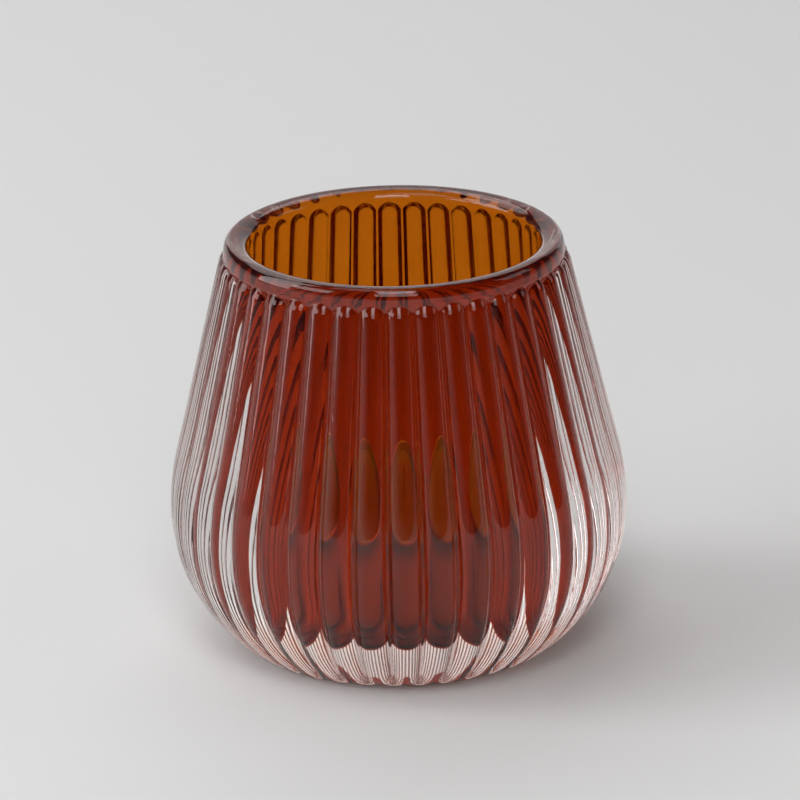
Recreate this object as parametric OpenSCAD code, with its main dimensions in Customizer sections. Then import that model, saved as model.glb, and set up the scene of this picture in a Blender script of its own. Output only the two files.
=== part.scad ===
// Ribbed glass tealight holder with a tealight standing in it.
// Z is up, the axis of the holder is the Z axis and the foot stands on z = 0. Millimetres.

/* [Holder] */

// Height of the holder over the rim
body_h = 83; // [82:0.5:90]

// Widest radius, over the crests of the ribs
belly_r = 45; // [40:0.5:55]

// Height of the widest ring above the table
belly_z = 27.8; // [22:0.2:36]

// Radius of the arc that carries the side from the belly down to the foot
lower_arc = 33; // [30:0.5:40]

// Radius of the arc that carries the side from the belly up to the shoulder
upper_arc = 50; // [35:1:70]

// Lean of the straight shoulder, degrees from upright
shoulder_lean = 13.5; // [12:0.1:15]

// Radius of the crown of the rim
crown_r = 31.9; // [30.5:0.1:32.5]

// Height of the rounded foot
foot_h = 1.5; // [1:0.1:3]

// How far the rounded foot draws in
foot_in = 3.4; // [2:0.1:5]

/* [Ribs] */

// Number of ribs round the holder
rib_count = 40; // [24:1:60]

// Height of a rib over its valleys at the belly
rib_depth = 2.2; // [0.6:0.1:2.6]

// Height of the rounded rib ends above the table
rib_top = 80.4; // [74:0.1:81]

// Length of the rounded end of a rib
rib_end = 3; // [1.5:0.1:5]

// Height over which the ribs fade in above the foot
rib_fade = 3; // [1:0.5:8]

// Lean of a rib's flank at the valley, degrees from the skin
rib_tilt = 64; // [30:1:75]

// How far the plain neck lies below the crests
neck_step = 0.5; // [0.3:0.05:1.2]

// Height over which the valleys run out into the neck
run_out = 3; // [2:0.5:8]

/* [Cavity] */

// Radius of the opening just under the rim
mouth_r = 28.7; // [26:0.1:29.5]

// Radius of the cavity where the wall meets the floor corner
well_r = 28.1; // [24:0.1:28.5]

// Thickness of the solid glass under the cavity
floor_t = 11.5; // [6:0.5:18]

// Radius of the corner between wall and floor
corner_r = 6.5; // [3:0.5:7]

// Height of the rounded inside edge of the rim
lip_h = 1.7; // [1.2:0.1:3.5]

// Thickness of the amber coat
coat_t = 0.2; // [0.1:0.05:0.4]

// How far the coat reaches over the rounded edge of the rim, degrees
coat_edge = 60; // [15:15:60]

/* [Underside] */

// Radius of the shallow dish under the foot
dish_r = 20; // [12:0.5:24]

// Depth of the dish
dish_d = 1.2; // [0.6:0.1:2]

/* [Tealight] */

// Outside radius of the cup
cup_r = 19; // [18.5:0.1:19.4]

// Height of the cup
cup_h = 15; // [12:0.5:17]

// Thickness of the cup's sheet
cup_t = 0.3; // [0.2:0.05:0.5]

// Radius of the rolled edge of the cup
roll_r = 0.45; // [0.3:0.05:0.6]

// Depth of the wax
wax_h = 12.6; // [9:0.2:14]

// Radius of the wick
wick_r = 0.8; // [0.5:0.1:1.2]

// Length of the wick over the wax
wick_free = 7; // [4:0.5:12]

// Radius of the wick holder's disc
holder_r = 6.2; // [5:0.1:8]

// Height of the wick holder's neck
holder_neck = 2.6; // [2:0.1:4]

/* [Hidden] */

// Where the upper arc runs into the straight shoulder
join_z = belly_z + upper_arc * sin(shoulder_lean);
join_r = belly_r - upper_arc * (1 - cos(shoulder_lean));

// One rib is four steps round: crest, flank, valley, flank
steps = 4;
cols = rib_count * steps;

// Heights of the rings of the ribbed skin
foot_zs = [0, 0.2 * foot_h, 0.55 * foot_h, foot_h];
side_zs = [foot_h + 1.5, 5, 8, 11.5, 15.5, 19.5, 23.5, belly_z, 33, 39, 47, 58, 68];
end_zs = [for (i = [0:4]) rib_top - rib_end * cos(i * 22.5)];
neck_h = body_h - rib_top;
neck_zs = [for (i = [1:5]) rib_top + neck_h * sin(i * 18)];
zs = concat(foot_zs, side_zs, end_zs, neck_zs);

// Where the rounded inside edge of the rim starts, and how far it spreads up to the crown
crown_flat = 0.3;
lip_z = body_h - lip_h;
rim_in = crown_r - crown_flat - mouth_r;

// Where the tealight stands
stand_z = floor_t + coat_t;

// Chamfer round the dish: how far it opens out, and how wide its slope is
dish_open = 0.6;
dish_slope = 1.4;

// Chamfer round the bottom of the cup
cup_corner = 0.8;

// How far the wax climbs the wall of the cup, and the ring over which it does so
wax_climb = 0.5;
climb_w = 2.5;

// Wall of the wick holder's neck, and the fillet at its foot
neck_wall = 0.35;
neck_fillet = 0.9;

// Radius over the crests, without foot and neck
function side_r(z) =
    z < belly_z ? belly_r - lower_arc + sqrt(pow(lower_arc, 2) - pow(belly_z - z, 2)) :
    z < join_z ? belly_r - upper_arc + sqrt(pow(upper_arc, 2) - pow(z - belly_z, 2)) :
    join_r - (z - join_z) * tan(shoulder_lean);

// How far the foot draws in at a height
function foot_cut(z) =
    z < foot_h ? foot_in * (1 - sqrt(1 - pow(1 - z / foot_h, 2))) : 0;

// Height of a full rib at a height, in step with its width
function rib_h(z) =
    rib_depth * side_r(z) / belly_r * min(1, max(0, (z - 0.55 * foot_h) / rib_fade));

// Radius of the plain neck, which rolls over to the crown above the ribs
function neck_r(z) =
    z < rib_top ? side_r(z) - neck_step :
    crown_r + (side_r(rib_top) - neck_step - crown_r)
        * sqrt(max(0, 1 - pow((z - rib_top) / neck_h, 2)));

// A smooth step from 0 to 1
function ease(t) = t <= 0 ? 0 : t >= 1 ? 1 : t * t * (3 - 2 * t);

// Radius in the valleys, which run out into the neck under the rim
function root_r(z) =
    let (valley = side_r(z) - foot_cut(z) - rib_h(z))
    z >= rib_top ? neck_r(z) :
    valley + (neck_r(z) - valley) * ease((z - rib_top + run_out) / run_out);

// Distance from the middle line of a rib, 0 on the crest and 1 in the valley,
// with the rounded upper end taken in
function across(i) = 1 - abs((i % steps) - steps / 2) / (steps / 2);
function reach(z) = max(0, (z - rib_top + rib_end) / rib_end);
function arc(x) = (sqrt(1 - pow(x * sin(rib_tilt), 2)) - cos(rib_tilt)) / (1 - cos(rib_tilt));
function swell(i, z) = arc(min(1, norm([across(i), reach(z)])));

// Radius over a rib, which keeps its full slope up to its rounded end and stands out of the neck
function rib_r(i, z) = side_r(z) - foot_cut(z) - rib_h(z) * (1 - swell(i, z));
function skin_r(i, z) = z >= rib_top ? root_r(z) : max(root_r(z), rib_r(i, z));

module ribbed_skin() {
    n = len(zs);
    pts = [for (z = zs) for (i = [0:cols - 1])
        let (a = i * 360 / cols, r = skin_r(i, z)) [r * cos(a), r * sin(a), z]];
    low = [for (i = [0:cols - 1]) i];
    high = [for (i = [cols - 1:-1:0]) (n - 1) * cols + i];
    up = [for (k = [0:n - 2]) for (i = [0:cols - 1])
        [k * cols + i, (k + 1) * cols + i, (k + 1) * cols + (i + 1) % cols]];
    down = [for (k = [0:n - 2]) for (i = [0:cols - 1])
        [k * cols + i, (k + 1) * cols + (i + 1) % cols, k * cols + (i + 1) % cols]];
    polyhedron(points = pts, faces = concat([low], [high], up, down), convexity = 10);
}

// Outline of the cavity, drawn in by t, up to the height top
function well_line(t, top) = concat(
    [[0, floor_t + t]],
    [for (a = [-90:15:0]) [well_r - corner_r + (corner_r - t) * cos(a),
        floor_t + corner_r + (corner_r - t) * sin(a)]],
    [[wall_r(top) - t, top]]);

// Radius of the cavity wall at a height
function wall_r(z) = well_r + (mouth_r - well_r)
    * (z - floor_t - corner_r) / (lip_z - floor_t - corner_r);

// A point on the rounded inside edge of the rim, drawn in by t: 0 degrees at the wall, 90 on the crown
function lip_point(a, t) =
    let (n = norm([lip_h * cos(a), rim_in * sin(a)]))
    [mouth_r + rim_in * (1 - cos(a)) - t * lip_h * cos(a) / n,
        lip_z + lip_h * sin(a) + t * rim_in * sin(a) / n];

// Outline of the cavity and the rounded edge, drawn in by t, up to the angle edge
function bowl_line(t, edge) = concat(well_line(t, lip_z), [for (a = [15:15:edge]) lip_point(a, t)]);

module cavity() {
    rotate_extrude($fn = 180)
        polygon(concat(bowl_line(0, 90), [[crown_r - crown_flat, body_h + 2], [0, body_h + 2]]));
}

module dish() {
    rotate_extrude($fn = 180)
        polygon([[0, -1], [dish_r + dish_open, -1], [dish_r + dish_open, 0],
            [dish_r, dish_d * 0.6], [dish_r - dish_slope, dish_d], [0, dish_d]]);
}

module glass_body() {
    color([0.92, 0.93, 0.92, 0.35])
        difference() {
            ribbed_skin();
            cavity();
            dish();
        }
}

module amber_coat() {
    inner = bowl_line(coat_t, coat_edge);
    color([0.80, 0.36, 0.05, 0.6])
        rotate_extrude($fn = 180)
            polygon(concat(bowl_line(0, coat_edge), [for (i = [len(inner) - 1:-1:0]) inner[i]]));
}

module tealight_cup() {
    roll_z = cup_h - roll_r;
    color([0.82, 0.83, 0.85])
        translate([0, 0, stand_z])
            rotate_extrude($fn = 120)
                polygon(concat(
                    [[0, 0], [cup_r - cup_corner, 0], [cup_r, cup_corner], [cup_r, roll_z - roll_r]],
                    [for (a = [-60:30:150]) [cup_r + roll_r * cos(a), roll_z + roll_r * sin(a)]],
                    [[cup_r - cup_t, roll_z - roll_r], [cup_r - cup_t, cup_corner + cup_t / 2],
                        [cup_r - cup_corner - cup_t / 2, cup_t], [0, cup_t]]));
}

// Room for the wick holder and the wick inside the wax
module holder_outline(r_neck) {
    rotate_extrude($fn = 72)
        polygon([[0, cup_t], [holder_r, cup_t], [holder_r, 2 * cup_t],
            [r_neck + neck_fillet, 2 * cup_t], [r_neck, 2 * cup_t + neck_fillet],
            [r_neck, cup_t + holder_neck], [0, cup_t + holder_neck]]);
}

module wick_room() {
    translate([0, 0, cup_t])
        cylinder(r = wick_r, h = wax_h + wick_free, $fn = 48);
}

module tealight_wax() {
    wax_r = cup_r - cup_t;
    color([0.96, 0.95, 0.91])
        translate([0, 0, stand_z])
            difference() {
                rotate_extrude($fn = 120)
                    polygon([[0, cup_t], [cup_r - cup_corner - cup_t / 2, cup_t],
                        [wax_r, cup_corner + cup_t / 2], [wax_r, wax_h + wax_climb],
                        [wax_r - 0.9, wax_h + 0.1], [wax_r - climb_w, wax_h], [0, wax_h]]);
                holder_outline(wick_r + neck_wall);
                wick_room();
            }
}

module wick_holder() {
    color([0.70, 0.70, 0.70])
        translate([0, 0, stand_z])
            difference() {
                holder_outline(wick_r + neck_wall);
                wick_room();
            }
}

module wick() {
    color([0.95, 0.94, 0.90])
        translate([0, 0, stand_z])
            wick_room();
}

glass_body();
amber_coat();
tealight_cup();
tealight_wax();
wick_holder();
wick();
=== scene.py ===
"""Ribbed clear glass tealight holder with an amber coated cavity, on a pale studio floor."""

import math

import bpy
import numpy as np
from mathutils import Matrix, Vector


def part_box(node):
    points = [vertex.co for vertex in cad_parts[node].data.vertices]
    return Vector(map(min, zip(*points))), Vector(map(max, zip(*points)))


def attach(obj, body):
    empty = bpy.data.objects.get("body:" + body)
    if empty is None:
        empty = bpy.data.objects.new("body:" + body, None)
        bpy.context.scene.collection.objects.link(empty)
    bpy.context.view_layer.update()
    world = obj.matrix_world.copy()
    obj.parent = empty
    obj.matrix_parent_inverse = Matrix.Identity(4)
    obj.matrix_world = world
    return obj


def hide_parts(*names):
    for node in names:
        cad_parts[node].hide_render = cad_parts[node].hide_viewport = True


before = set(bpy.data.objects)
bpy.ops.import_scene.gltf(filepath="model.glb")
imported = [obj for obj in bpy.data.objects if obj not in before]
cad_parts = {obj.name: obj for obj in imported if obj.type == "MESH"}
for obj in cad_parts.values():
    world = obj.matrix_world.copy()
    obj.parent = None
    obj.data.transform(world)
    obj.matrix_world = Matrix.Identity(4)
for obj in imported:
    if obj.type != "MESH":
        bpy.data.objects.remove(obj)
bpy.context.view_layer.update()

MM = 0.001  # every length below is in millimetres until a mesh is made

# ---------------------------------------------------------------- driving dimensions
_, glass_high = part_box("glass_body")
coat_low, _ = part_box("amber_coat")
cup_low, cup_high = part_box("tealight_cup")
wax_low, wax_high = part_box("tealight_wax")
holder_low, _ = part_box("wick_holder")
wick_low, wick_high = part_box("wick")

BODY_H = glass_high.z / MM
BELLY_R = glass_high.x / MM
BELLY_Z = 27.8
LOWER_ARC = 33.0
UPPER_ARC = 50.0
LEAN = math.radians(13.5)
CROWN_R = 31.9
FOOT_H = 1.5
FOOT_IN = 3.4

RIBS = 40
RIB_DEPTH = 2.2
RIB_TILT = math.radians(64)
RIB_TOP = 80.4
RIB_END = 3.0
RIB_FADE = 3.0

MOUTH_R = 28.7
WELL_R = 28.1
FLOOR_T = coat_low.z / MM
CORNER_R = 6.5
LIP_H = 1.7
COAT_T = 0.2
CROWN_FLAT = 0.3
DISH_R = 20.0
DISH_D = 1.2

NECK_STEP = 0.5  # how far the plain neck lies behind the crests
RUN_OUT = 3.0  # height over which the valleys run out into the neck
TIP_BLEND = 0.12  # softness of the crease round a rib's upper end
COAT_EDGE = math.radians(60)  # how far round the inside of the rim the coat reaches
FILM_INSETS = (0.06, 0.14)  # the two faces of the amber film, behind the cavity wall

JOIN_Z = BELLY_Z + UPPER_ARC * math.sin(LEAN)
JOIN_R = BELLY_R - UPPER_ARC * (1 - math.cos(LEAN))

COLS_PER_RIB = 16
COLS = RIBS * COLS_PER_RIB
ROUND_COLS = 192


# ---------------------------------------------------------------- outline of the glass
def side_r(z):
    """Radius over the crests of the ribs, without foot and neck."""
    if z < BELLY_Z:
        return BELLY_R - LOWER_ARC + math.sqrt(LOWER_ARC**2 - (BELLY_Z - z) ** 2)
    if z < JOIN_Z:
        return BELLY_R - UPPER_ARC + math.sqrt(UPPER_ARC**2 - (z - BELLY_Z) ** 2)
    return JOIN_R - (z - JOIN_Z) * math.tan(LEAN)


def foot_cut(z):
    """How far the rounded foot draws in."""
    return FOOT_IN * (1 - math.sqrt(1 - (1 - z / FOOT_H) ** 2)) if z < FOOT_H else 0.0


def rib_height(z):
    """Height of a full rib, which fades in above the foot."""
    fade = min(1.0, max(0.0, (z - 0.55 * FOOT_H) / RIB_FADE))
    fade = fade * fade * (3 - 2 * fade)
    return RIB_DEPTH * side_r(z) / BELLY_R * fade


def neck_r(z):
    """Radius of the plain neck, which rolls over to the crown above the ribs."""
    if z < RIB_TOP:
        return side_r(z) - NECK_STEP
    roll = math.sqrt(max(0.0, 1 - ((z - RIB_TOP) / (BODY_H - RIB_TOP)) ** 2))
    return CROWN_R + (side_r(RIB_TOP) - NECK_STEP - CROWN_R) * roll


def root_r(z):
    """Radius in the valleys, which run out into the neck under the rim."""
    if z >= RIB_TOP:
        return neck_r(z)
    valley = side_r(z) - foot_cut(z) - rib_height(z)
    t = min(1.0, max(0.0, (z - RIB_TOP + RUN_OUT) / RUN_OUT))
    return valley + (neck_r(z) - valley) * t * t * (3 - 2 * t)


def rib_section(reach):
    """Round section of a rib: 1 on the crest, easing out to 0 at a reach of about 1."""
    ease_from, ease_to = 0.92, 1.09
    cos_t, sin_t = math.cos(RIB_TILT), math.sin(RIB_TILT)

    def arc(x):
        return (np.sqrt(1 - (x * sin_t) ** 2) - cos_t) / (1 - cos_t)

    start = arc(ease_from)
    slope = -ease_from * sin_t**2 / math.sqrt(1 - (ease_from * sin_t) ** 2) / (1 - cos_t)
    t = np.clip((reach - ease_from) / (ease_to - ease_from), 0, 1)
    ease = (1 + 2 * t) * (1 - t) ** 2 * start + t * (1 - t) ** 2 * slope * (ease_to - ease_from)
    return np.where(reach < ease_from, arc(np.minimum(reach, ease_from)), ease)


def skin_ring(z):
    """Radii of the ribbed skin round one level: ribs at their full slope, standing out of the neck."""
    turn = np.arange(COLS) / COLS_PER_RIB
    across = np.abs(2 * (turn - np.round(turn)))
    up = max(0.0, (z - RIB_TOP + RIB_END) / RIB_END)
    root = root_r(z)
    crest = side_r(min(z, RIB_TOP)) - foot_cut(z)
    rib = crest - rib_height(min(z, RIB_TOP)) * (1 - rib_section(np.hypot(across, up)))
    gap = rib - root
    return np.where(z < RIB_TOP - RIB_END, rib, (rib + root + np.sqrt(gap**2 + TIP_BLEND**2)) / 2)


def wall_r(z):
    """Radius of the cavity wall."""
    bottom = FLOOR_T + CORNER_R
    return WELL_R + (MOUTH_R - WELL_R) * (z - bottom) / (BODY_H - LIP_H - bottom)


def well_line(inset, top, wall_steps, corner_steps):
    """(radius, height) up the cavity, from the middle of its floor, drawn in by inset."""
    line = [(0.0, FLOOR_T + inset)]
    flat = WELL_R - CORNER_R
    line += [(flat * t, FLOOR_T + inset) for t in (0.3, 0.7)]
    for a in np.linspace(-math.pi / 2, 0, corner_steps):
        line.append((flat + (CORNER_R - inset) * math.cos(a),
                     FLOOR_T + CORNER_R + (CORNER_R - inset) * math.sin(a)))
    for z in np.linspace(FLOOR_T + CORNER_R, top, wall_steps)[1:]:
        line.append((wall_r(z) - inset, z))
    return line


def lip_line(inset, turn_to, steps):
    """(radius, height) over the rounded inside of the rim, from the wall towards the crown."""
    inner = CROWN_R - CROWN_FLAT
    return [(MOUTH_R - inset + (inner - MOUTH_R + inset) * (1 - math.cos(a)),
             BODY_H - LIP_H + LIP_H * math.sin(a)) for a in np.linspace(0, turn_to, steps)]


# ---------------------------------------------------------------- mesh helpers
def turned(name, rings, cols):
    """A mesh through rings of (radii, height) round the axis. A radius of 0 makes a pole."""
    angle = np.arange(cols) * 2 * math.pi / cols
    points, starts = [], []
    for radii, z in rings:
        starts.append(len(points))
        if np.isscalar(radii) and radii == 0:
            points.append((0.0, 0.0, z * MM))
            continue
        r = np.broadcast_to(radii, cols) * MM
        height = np.broadcast_to(z, cols) * MM
        points += list(zip(r * np.cos(angle), r * np.sin(angle), height))
    sizes = [b - a for a, b in zip(starts, starts[1:] + [len(points)])]
    faces = []
    for low, high in zip(range(len(rings) - 1), range(1, len(rings))):
        for i in range(cols):
            j = (i + 1) % cols
            if sizes[low] == 1:
                faces.append((starts[low], starts[high] + j, starts[high] + i))
            elif sizes[high] == 1:
                faces.append((starts[low] + i, starts[low] + j, starts[high]))
            else:
                faces.append((starts[low] + i, starts[low] + j,
                              starts[high] + j, starts[high] + i))
    mesh = bpy.data.meshes.new(name)
    mesh.from_pydata(points, [], faces)
    mesh.shade_smooth()
    obj = bpy.data.objects.new(name, mesh)
    bpy.context.scene.collection.objects.link(obj)
    return obj


def place(obj, material, body, node):
    """Gives a piece its material and ties it to its CAD node and body."""
    obj.data.materials.append(material)
    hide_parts(node)
    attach(obj, body)
    return obj


# ---------------------------------------------------------------- node helpers
def new_material(name):
    """An empty node material and its tree."""
    mat = bpy.data.materials.new(name)
    mat.use_nodes = True
    tree = mat.node_tree
    tree.nodes.clear()
    return mat, tree


def node(tree, kind, inputs=None, **settings):
    """A node whose inputs are links where a socket is given and constants otherwise."""
    made = tree.nodes.new(kind)
    for key, value in settings.items():
        setattr(made, key, value)
    for key, value in (inputs or {}).items():
        if isinstance(value, bpy.types.NodeSocket):
            tree.links.new(value, made.inputs[key])
        else:
            made.inputs[key].default_value = value
    return made


def maths(tree, operation, a, b=0.0):
    return node(tree, "ShaderNodeMath", {0: a, 1: b}, operation=operation).outputs[0]


# ---------------------------------------------------------------- materials
KNURL_LINES = 360.0  # tool lines round the foot
KNURL_TOP = 0.0012  # they end at this height, in metres


def clear_glass():
    """Pressed glass, faintly warm grey: slow waves, upright draw lines, tool lines under the foot."""
    mat, tree = new_material("clear_pressed_glass")
    coord = node(tree, "ShaderNodeTexCoord").outputs["Object"]
    wave = node(tree, "ShaderNodeTexNoise", {"Vector": coord, "Scale": 90.0, "Detail": 2.0})
    upright = node(tree, "ShaderNodeMapping", {"Vector": coord, "Scale": (1.0, 1.0, 0.12)})
    drawn = node(tree, "ShaderNodeTexNoise", {
        "Vector": upright.outputs[0], "Scale": 420.0, "Detail": 2.0})
    grain = node(tree, "ShaderNodeTexNoise", {"Vector": coord, "Scale": 900.0, "Detail": 3.0})
    surface = wave.outputs["Fac"]
    for layer, weight in ((drawn, 0.30), (grain, 0.05)):
        share = maths(tree, "MULTIPLY", layer.outputs["Fac"], weight)
        surface = maths(tree, "ADD", surface, share)
    bump = node(tree, "ShaderNodeBump", {"Height": surface, "Strength": 0.35, "Distance": 0.00018})
    split = node(tree, "ShaderNodeSeparateXYZ", {0: coord})
    around = maths(tree, "ARCTAN2", split.outputs["Y"], split.outputs["X"])
    lines = maths(tree, "SINE", maths(tree, "MULTIPLY", around, KNURL_LINES))
    low = maths(tree, "LESS_THAN", split.outputs["Z"], KNURL_TOP)
    lines = maths(tree, "MULTIPLY", lines, low)
    knurl = node(tree, "ShaderNodeBump", {"Height": lines, "Strength": 0.35, "Distance": 0.0001,
                                          "Normal": bump.outputs["Normal"]})
    shader = node(tree, "ShaderNodeBsdfPrincipled", {
        "Base Color": (0.935, 0.915, 0.900, 1), "Roughness": 0.0, "IOR": 1.5,
        "Transmission Weight": 1.0, "Normal": knurl.outputs["Normal"]})
    node(tree, "ShaderNodeOutputMaterial", {"Surface": shader.outputs[0]})
    return mat


def amber_lacquer():
    """Transparent amber film, sprayed a little unevenly."""
    mat, tree = new_material("amber_lacquer")
    coord = node(tree, "ShaderNodeTexCoord").outputs["Object"]
    cloud = node(tree, "ShaderNodeTexNoise", {"Vector": coord, "Scale": 60.0, "Detail": 3.0})
    ramp = node(tree, "ShaderNodeValToRGB", {"Fac": cloud.outputs["Fac"]})
    ramp.color_ramp.elements[0].color = (0.73, 0.35, 0.050, 1)
    ramp.color_ramp.elements[1].color = (0.80, 0.42, 0.085, 1)
    film = node(tree, "ShaderNodeBsdfTransparent", {"Color": ramp.outputs["Color"]})
    node(tree, "ShaderNodeOutputMaterial", {"Surface": film.outputs[0]})
    return mat


def sheet_metal(name, colour, scale):
    """Satin sheet with an uneven gloss."""
    mat, tree = new_material(name)
    coord = node(tree, "ShaderNodeTexCoord").outputs["Object"]
    noise = node(tree, "ShaderNodeTexNoise", {"Vector": coord, "Scale": scale, "Detail": 4.0})
    rough = node(tree, "ShaderNodeMapRange", {
        "Value": noise.outputs["Fac"], "To Min": 0.22, "To Max": 0.42})
    bump = node(tree, "ShaderNodeBump", {
        "Height": noise.outputs["Fac"], "Strength": 0.3, "Distance": 0.0001})
    shader = node(tree, "ShaderNodeBsdfPrincipled", {
        "Base Color": colour, "Metallic": 1.0, "Roughness": rough.outputs[0],
        "Normal": bump.outputs["Normal"]})
    node(tree, "ShaderNodeOutputMaterial", {"Surface": shader.outputs[0]})
    return mat


def paraffin():
    """Soft, slightly translucent wax."""
    mat, tree = new_material("paraffin_wax")
    coord = node(tree, "ShaderNodeTexCoord").outputs["Object"]
    noise = node(tree, "ShaderNodeTexNoise", {"Vector": coord, "Scale": 300.0, "Detail": 4.0})
    bump = node(tree, "ShaderNodeBump", {
        "Height": noise.outputs["Fac"], "Strength": 0.2, "Distance": 0.0002})
    rough = node(tree, "ShaderNodeMapRange", {
        "Value": noise.outputs["Fac"], "To Min": 0.3, "To Max": 0.5})
    shader = node(tree, "ShaderNodeBsdfPrincipled", {
        "Base Color": (0.93, 0.92, 0.88, 1), "Roughness": rough.outputs[0],
        "Subsurface Weight": 0.4, "Subsurface Scale": 0.004, "Normal": bump.outputs["Normal"]})
    node(tree, "ShaderNodeOutputMaterial", {"Surface": shader.outputs[0]})
    return mat


def braid():
    """Waxed cotton with slanting strands."""
    mat, tree = new_material("waxed_braid")
    coord = node(tree, "ShaderNodeTexCoord").outputs["Object"]
    wave = node(tree, "ShaderNodeTexWave", {"Vector": coord, "Scale": 900.0, "Distortion": 2.0},
                bands_direction="DIAGONAL")
    ramp = node(tree, "ShaderNodeValToRGB", {"Fac": wave.outputs["Fac"]})
    ramp.color_ramp.elements[0].color = (0.70, 0.67, 0.60, 1)
    ramp.color_ramp.elements[1].color = (0.93, 0.91, 0.86, 1)
    bump = node(tree, "ShaderNodeBump", {
        "Height": wave.outputs["Fac"], "Strength": 0.6, "Distance": 0.0002})
    shader = node(tree, "ShaderNodeBsdfPrincipled", {
        "Base Color": ramp.outputs["Color"], "Roughness": 0.7, "Normal": bump.outputs["Normal"]})
    node(tree, "ShaderNodeOutputMaterial", {"Surface": shader.outputs[0]})
    return mat


# ---------------------------------------------------------------- pieces
def glass_body():
    """Dish, standing ring, rounded foot, ribs, neck and rim, then down the inside of the cavity."""
    rings = [(0, DISH_D)]
    rings += [(DISH_R * t, DISH_D) for t in (0.4, 0.8)]
    for a in np.linspace(0, math.pi / 2, 5):
        rings.append((DISH_R - 1.4 + 2.0 * math.sin(a), DISH_D * math.cos(a)))
    land = side_r(FOOT_H) - FOOT_IN
    rings += [(DISH_R + 0.8 + (land - DISH_R - 0.8) * t, 0.0) for t in (0.0, 0.5, 1.0)]
    for a in np.linspace(0, math.pi / 2, 8)[1:]:
        z = FOOT_H * (1 - math.cos(a))
        rings.append((skin_ring(z), z))
    for z in FOOT_H + (RIB_TOP - RIB_END - FOOT_H) * np.linspace(0, 1, 46)[1:] ** 1.25:
        rings.append((skin_ring(z), z))
    for z in np.linspace(RIB_TOP - RIB_END, RIB_TOP + 0.4, 25)[1:]:
        rings.append((skin_ring(z), z))
    neck = BODY_H - RIB_TOP
    for a in np.linspace(math.asin(0.4 / neck), math.pi / 2, 12)[1:]:
        rings.append((root_r(RIB_TOP + neck * math.sin(a)), RIB_TOP + neck * math.sin(a)))
    inside = well_line(COAT_T, BODY_H - LIP_H, 16, 12) + lip_line(COAT_T, math.pi / 2, 10)[1:]
    rings += inside[::-1]
    obj = turned("glass_body_pressed", rings, COLS)
    return place(obj, clear_glass(), "holder", "glass_body")


def amber_coat():
    """The film lies inside the glass, just behind the surface of the cavity."""
    outer, inner = (well_line(inset, BODY_H - LIP_H, 30, 14) + lip_line(inset, COAT_EDGE, 7)[1:]
                    for inset in FILM_INSETS)
    obj = turned("amber_coat_film", outer + inner[::-1], ROUND_COLS)
    return place(obj, amber_lacquer(), "holder", "amber_coat")


def tealight_cup():
    """Sheet cup with a rolled edge and a step pressed into its base."""
    base, top = cup_low.z / MM, cup_high.z / MM
    r, roll, sheet = 19.0, 0.45, 0.25
    rings = [(0, base), (r - 3.2, base), (r - 2.6, base + 0.35), (r - 1.6, base + 0.35),
             (r - 0.9, base + 0.05)]
    rings += [(r - 0.8 + 0.8 * math.sin(a), base + 0.8 - 0.8 * math.cos(a))
              for a in np.linspace(0.2, math.pi / 2, 5)]
    rings += [(r, base + (top - base - 1) * t) for t in (0.35, 0.7)]
    rings += [(r + roll * math.cos(a), top - roll + roll * math.sin(a))
              for a in np.linspace(-1.2, 2.7, 12)]
    wall = r - sheet
    rings += [(wall, top - 1.2), (wall, base + 1.0), (wall - 0.8, base + 0.3), (0, base + 0.3)]
    obj = turned("tealight_cup_sheet", rings, ROUND_COLS)
    return place(obj, sheet_metal("drawn_aluminium", (0.83, 0.84, 0.86, 1), 250.0),
                 "tealight", "tealight_cup")


def tealight_wax():
    """Filling that climbs a little at the cup's wall and at the wick."""
    climb, wall = 0.5, 18.7
    base = wax_low.z / MM
    level = wax_high.z / MM - climb
    rings = [(0, base + 0.02), (wall - 1.0, base + 0.02), (wall - 0.05, base + 1.0),
             (wall - 0.02, level + 0.45), (wall - 0.5, level + 0.25), (wall - 1.3, level + 0.05),
             (wall - 3.0, level - 0.05), (wall * 0.5, level - 0.1), (4.0, level), (1.8, level + 0.15),
             (0.9, level + climb), (0, level + climb)]
    obj = turned("tealight_wax_fill", rings, 160)
    return place(obj, paraffin(), "tealight", "tealight_wax")


def wick_holder():
    """Tin disc with a neck that grips the wick."""
    base = holder_low.z / MM
    rings = [(0, base + 0.04), (6.1, base + 0.04), (6.2, base + 0.15), (6.1, base + 0.3),
             (2.2, base + 0.3), (1.4, base + 0.7), (1.15, base + 1.3), (1.15, base + 2.55),
             (0, base + 2.55)]
    obj = turned("wick_holder_disc", rings, 96)
    return place(obj, sheet_metal("tinned_sheet", (0.68, 0.68, 0.68, 1), 400.0),
                 "tealight", "wick_holder")


def wick():
    """Cotton cord with a rounded end."""
    base, top = wick_low.z / MM, wick_high.z / MM
    rings = [(0, base)] + [(0.78, base + (top - base - 0.5) * t) for t in np.linspace(0, 1, 24)]
    rings += [(0.6, top - 0.2), (0, top)]
    obj = turned("wick_braid", rings, 24)
    return place(obj, braid(), "tealight", "wick")


glass_body()
amber_coat()
tealight_cup()
tealight_wax()
wick_holder()
wick()


# ---------------------------------------------------------------- studio
FLOOR_RADII = (0, 200.0, 600.0, 1250.0)
FLOOR_Z = -0.02  # just under the foot, so that the two surfaces don't coincide
CAMERA_AIM = 42.0
REAR_LEFT = (-0.71, 0.71, 0.0)  # the way in which the horizon is brightest

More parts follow.
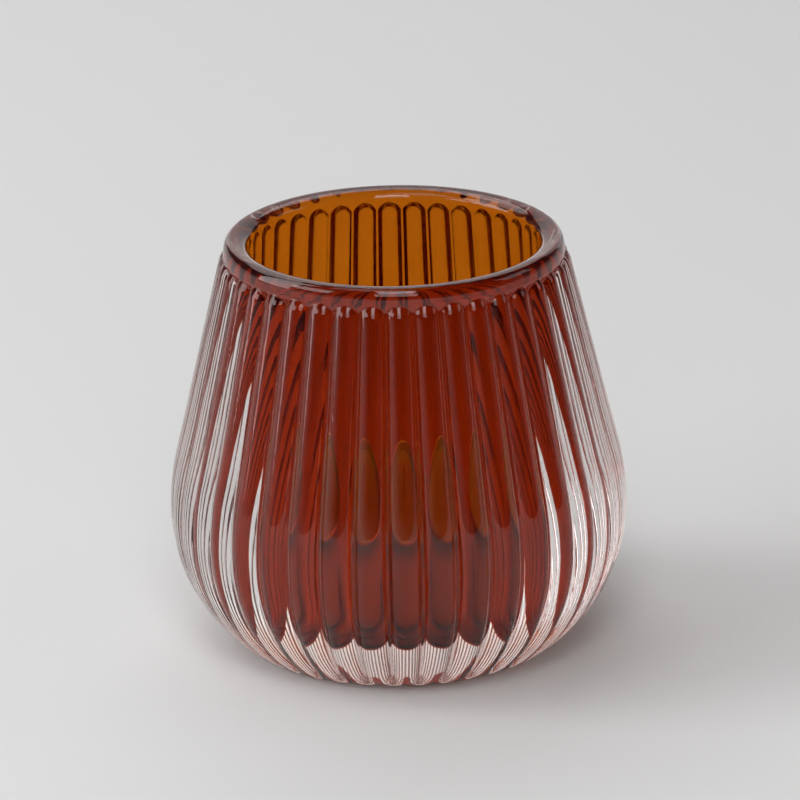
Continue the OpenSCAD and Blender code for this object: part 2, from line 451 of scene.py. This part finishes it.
# Name, azimuth, elevation, distance, size and power. Azimuth 0 is the front, 90 the right.
# Lengths in metres. The low boxes stand far off, so that they don't burn out the floor.
SOFTBOXES = (
    ("front_left", -60, 25, 1.4, (0.66, 0.49), 3.1),
    ("key", 0, 47, 1.4, (0.50, 0.61), 4.4),
    ("front_low", 0, 25, 1.4, (0.66, 0.49), 2.2),
    ("left_low", -88, 18, 2.8, (1.40, 1.76), 25.6),
    ("left_high", -90, 47, 1.4, (0.50, 0.61), 2.8),
    ("rear_left_high", -135, 47, 1.4, (0.80, 0.61), 2.3),
    ("rear_high", 180, 47, 1.4, (0.95, 0.61), 3.1),
    ("rear_low", 172, 17, 2.8, (3.20, 1.56), 10.0),
    ("right", 90, 25, 1.4, (0.66, 0.49), 1.0),
    ("top", -45, 72, 1.4, (0.70, 0.70), 1.7),
)


def floor():
    obj = turned("studio_floor", [(radius, FLOOR_Z) for radius in FLOOR_RADII], 96)
    mat, tree = new_material("pale_floor")
    coord = node(tree, "ShaderNodeTexCoord").outputs["Object"]
    noise = node(tree, "ShaderNodeTexNoise", {"Vector": coord, "Scale": 4.0, "Detail": 2.0})
    ramp = node(tree, "ShaderNodeValToRGB", {"Fac": noise.outputs["Fac"]})
    ramp.color_ramp.elements[0].color = (0.86, 0.86, 0.86, 1)
    ramp.color_ramp.elements[1].color = (0.88, 0.88, 0.88, 1)
    shader = node(tree, "ShaderNodeBsdfPrincipled", {
        "Base Color": ramp.outputs["Color"], "Roughness": 0.9, "Specular IOR Level": 0.1})
    node(tree, "ShaderNodeOutputMaterial", {"Surface": shader.outputs[0]})
    obj.data.materials.append(mat)


def surroundings():
    """A pale band along the horizon, dim overhead and darker towards the front right."""
    world = bpy.data.worlds.new("studio")
    bpy.context.scene.world = world
    world.use_nodes = True
    tree = world.node_tree
    tree.nodes.clear()
    way = node(tree, "ShaderNodeTexCoord").outputs["Generated"]
    height = node(tree, "ShaderNodeSeparateXYZ", {0: way}).outputs["Z"]
    ramp = node(tree, "ShaderNodeValToRGB", {"Fac": maths(tree, "ABSOLUTE", height)})
    stops = ramp.color_ramp.elements
    stops[0].position, stops[0].color = 0.0, (0.72, 0.72, 0.72, 1)
    stops[1].position, stops[1].color = 1.0, (0.06, 0.06, 0.06, 1)
    for position, grey in ((0.05, 0.62), (0.11, 0.10), (0.4, 0.05)):
        stop = stops.new(position)
        stop.color = (grey, grey, grey, 1)
    toward = node(tree, "ShaderNodeVectorMath", {0: way, 1: REAR_LEFT}, operation="DOT_PRODUCT")
    side = node(tree, "ShaderNodeMapRange", {
        "Value": toward.outputs["Value"], "From Min": -1.0, "From Max": 0.7,
        "To Min": 0.12, "To Max": 1.0})
    back = node(tree, "ShaderNodeBackground", {
        "Color": ramp.outputs["Color"], "Strength": side.outputs[0]})
    node(tree, "ShaderNodeOutputWorld", {"Surface": back.outputs[0]})


def softbox(name, azimuth, elevation, distance, size, power):
    """An area light, turned to the middle of the holder and not seen by the camera."""
    a, e = math.radians(azimuth), math.radians(elevation)
    way = Vector((math.sin(a) * math.cos(e), -math.cos(a) * math.cos(e), math.sin(e)))
    lamp = bpy.data.lights.new(name, "AREA")
    lamp.shape = "RECTANGLE"
    lamp.size, lamp.size_y = size
    lamp.energy = power
    obj = bpy.data.objects.new(name, lamp)
    obj.location = Vector((0, 0, 0.05)) + way * distance
    obj.rotation_mode = "QUATERNION"
    obj.rotation_quaternion = way.to_track_quat("Z", "Y")
    obj.visible_camera = False
    bpy.context.scene.collection.objects.link(obj)


def camera():
    """The photograph's viewing angle."""
    distance, elevation, roll = 1.2305, math.radians(20.05), math.radians(-1.126)
    azimuth = math.radians(-1.3)
    lens = bpy.data.cameras.new("camera")
    lens.lens, lens.sensor_width = 281.4, 36.0
    lens.shift_x, lens.shift_y = 0.0032, 0.0417
    lens.clip_start, lens.clip_end = 0.05, 20.0
    obj = bpy.data.objects.new("camera", lens)
    way = Vector((math.sin(azimuth) * math.cos(elevation),
                  -math.cos(azimuth) * math.cos(elevation), math.sin(elevation)))
    obj.location = Vector((0, 0, CAMERA_AIM * MM)) + way * distance
    obj.rotation_mode = "QUATERNION"
    tilt = Matrix.Rotation(roll, 3, "Z").to_quaternion()
    obj.rotation_quaternion = way.to_track_quat("Z", "Y") @ tilt
    bpy.context.scene.collection.objects.link(obj)
    bpy.context.scene.camera = obj


floor()
surroundings()
for box in SOFTBOXES:
    softbox(*box)
camera()

scene = bpy.context.scene
scene.view_settings.view_transform = "Standard"
scene.cycles.max_bounces = 32
scene.cycles.transmission_bounces = 28
scene.cycles.transparent_max_bounces = 64
scene.cycles.glossy_bounces = 12
scene.cycles.diffuse_bounces = 3
scene.cycles.caustics_reflective = True
scene.cycles.caustics_refractive = True
scene.cycles.sample_clamp_indirect = 6.0
scene.cycles.use_denoising = True
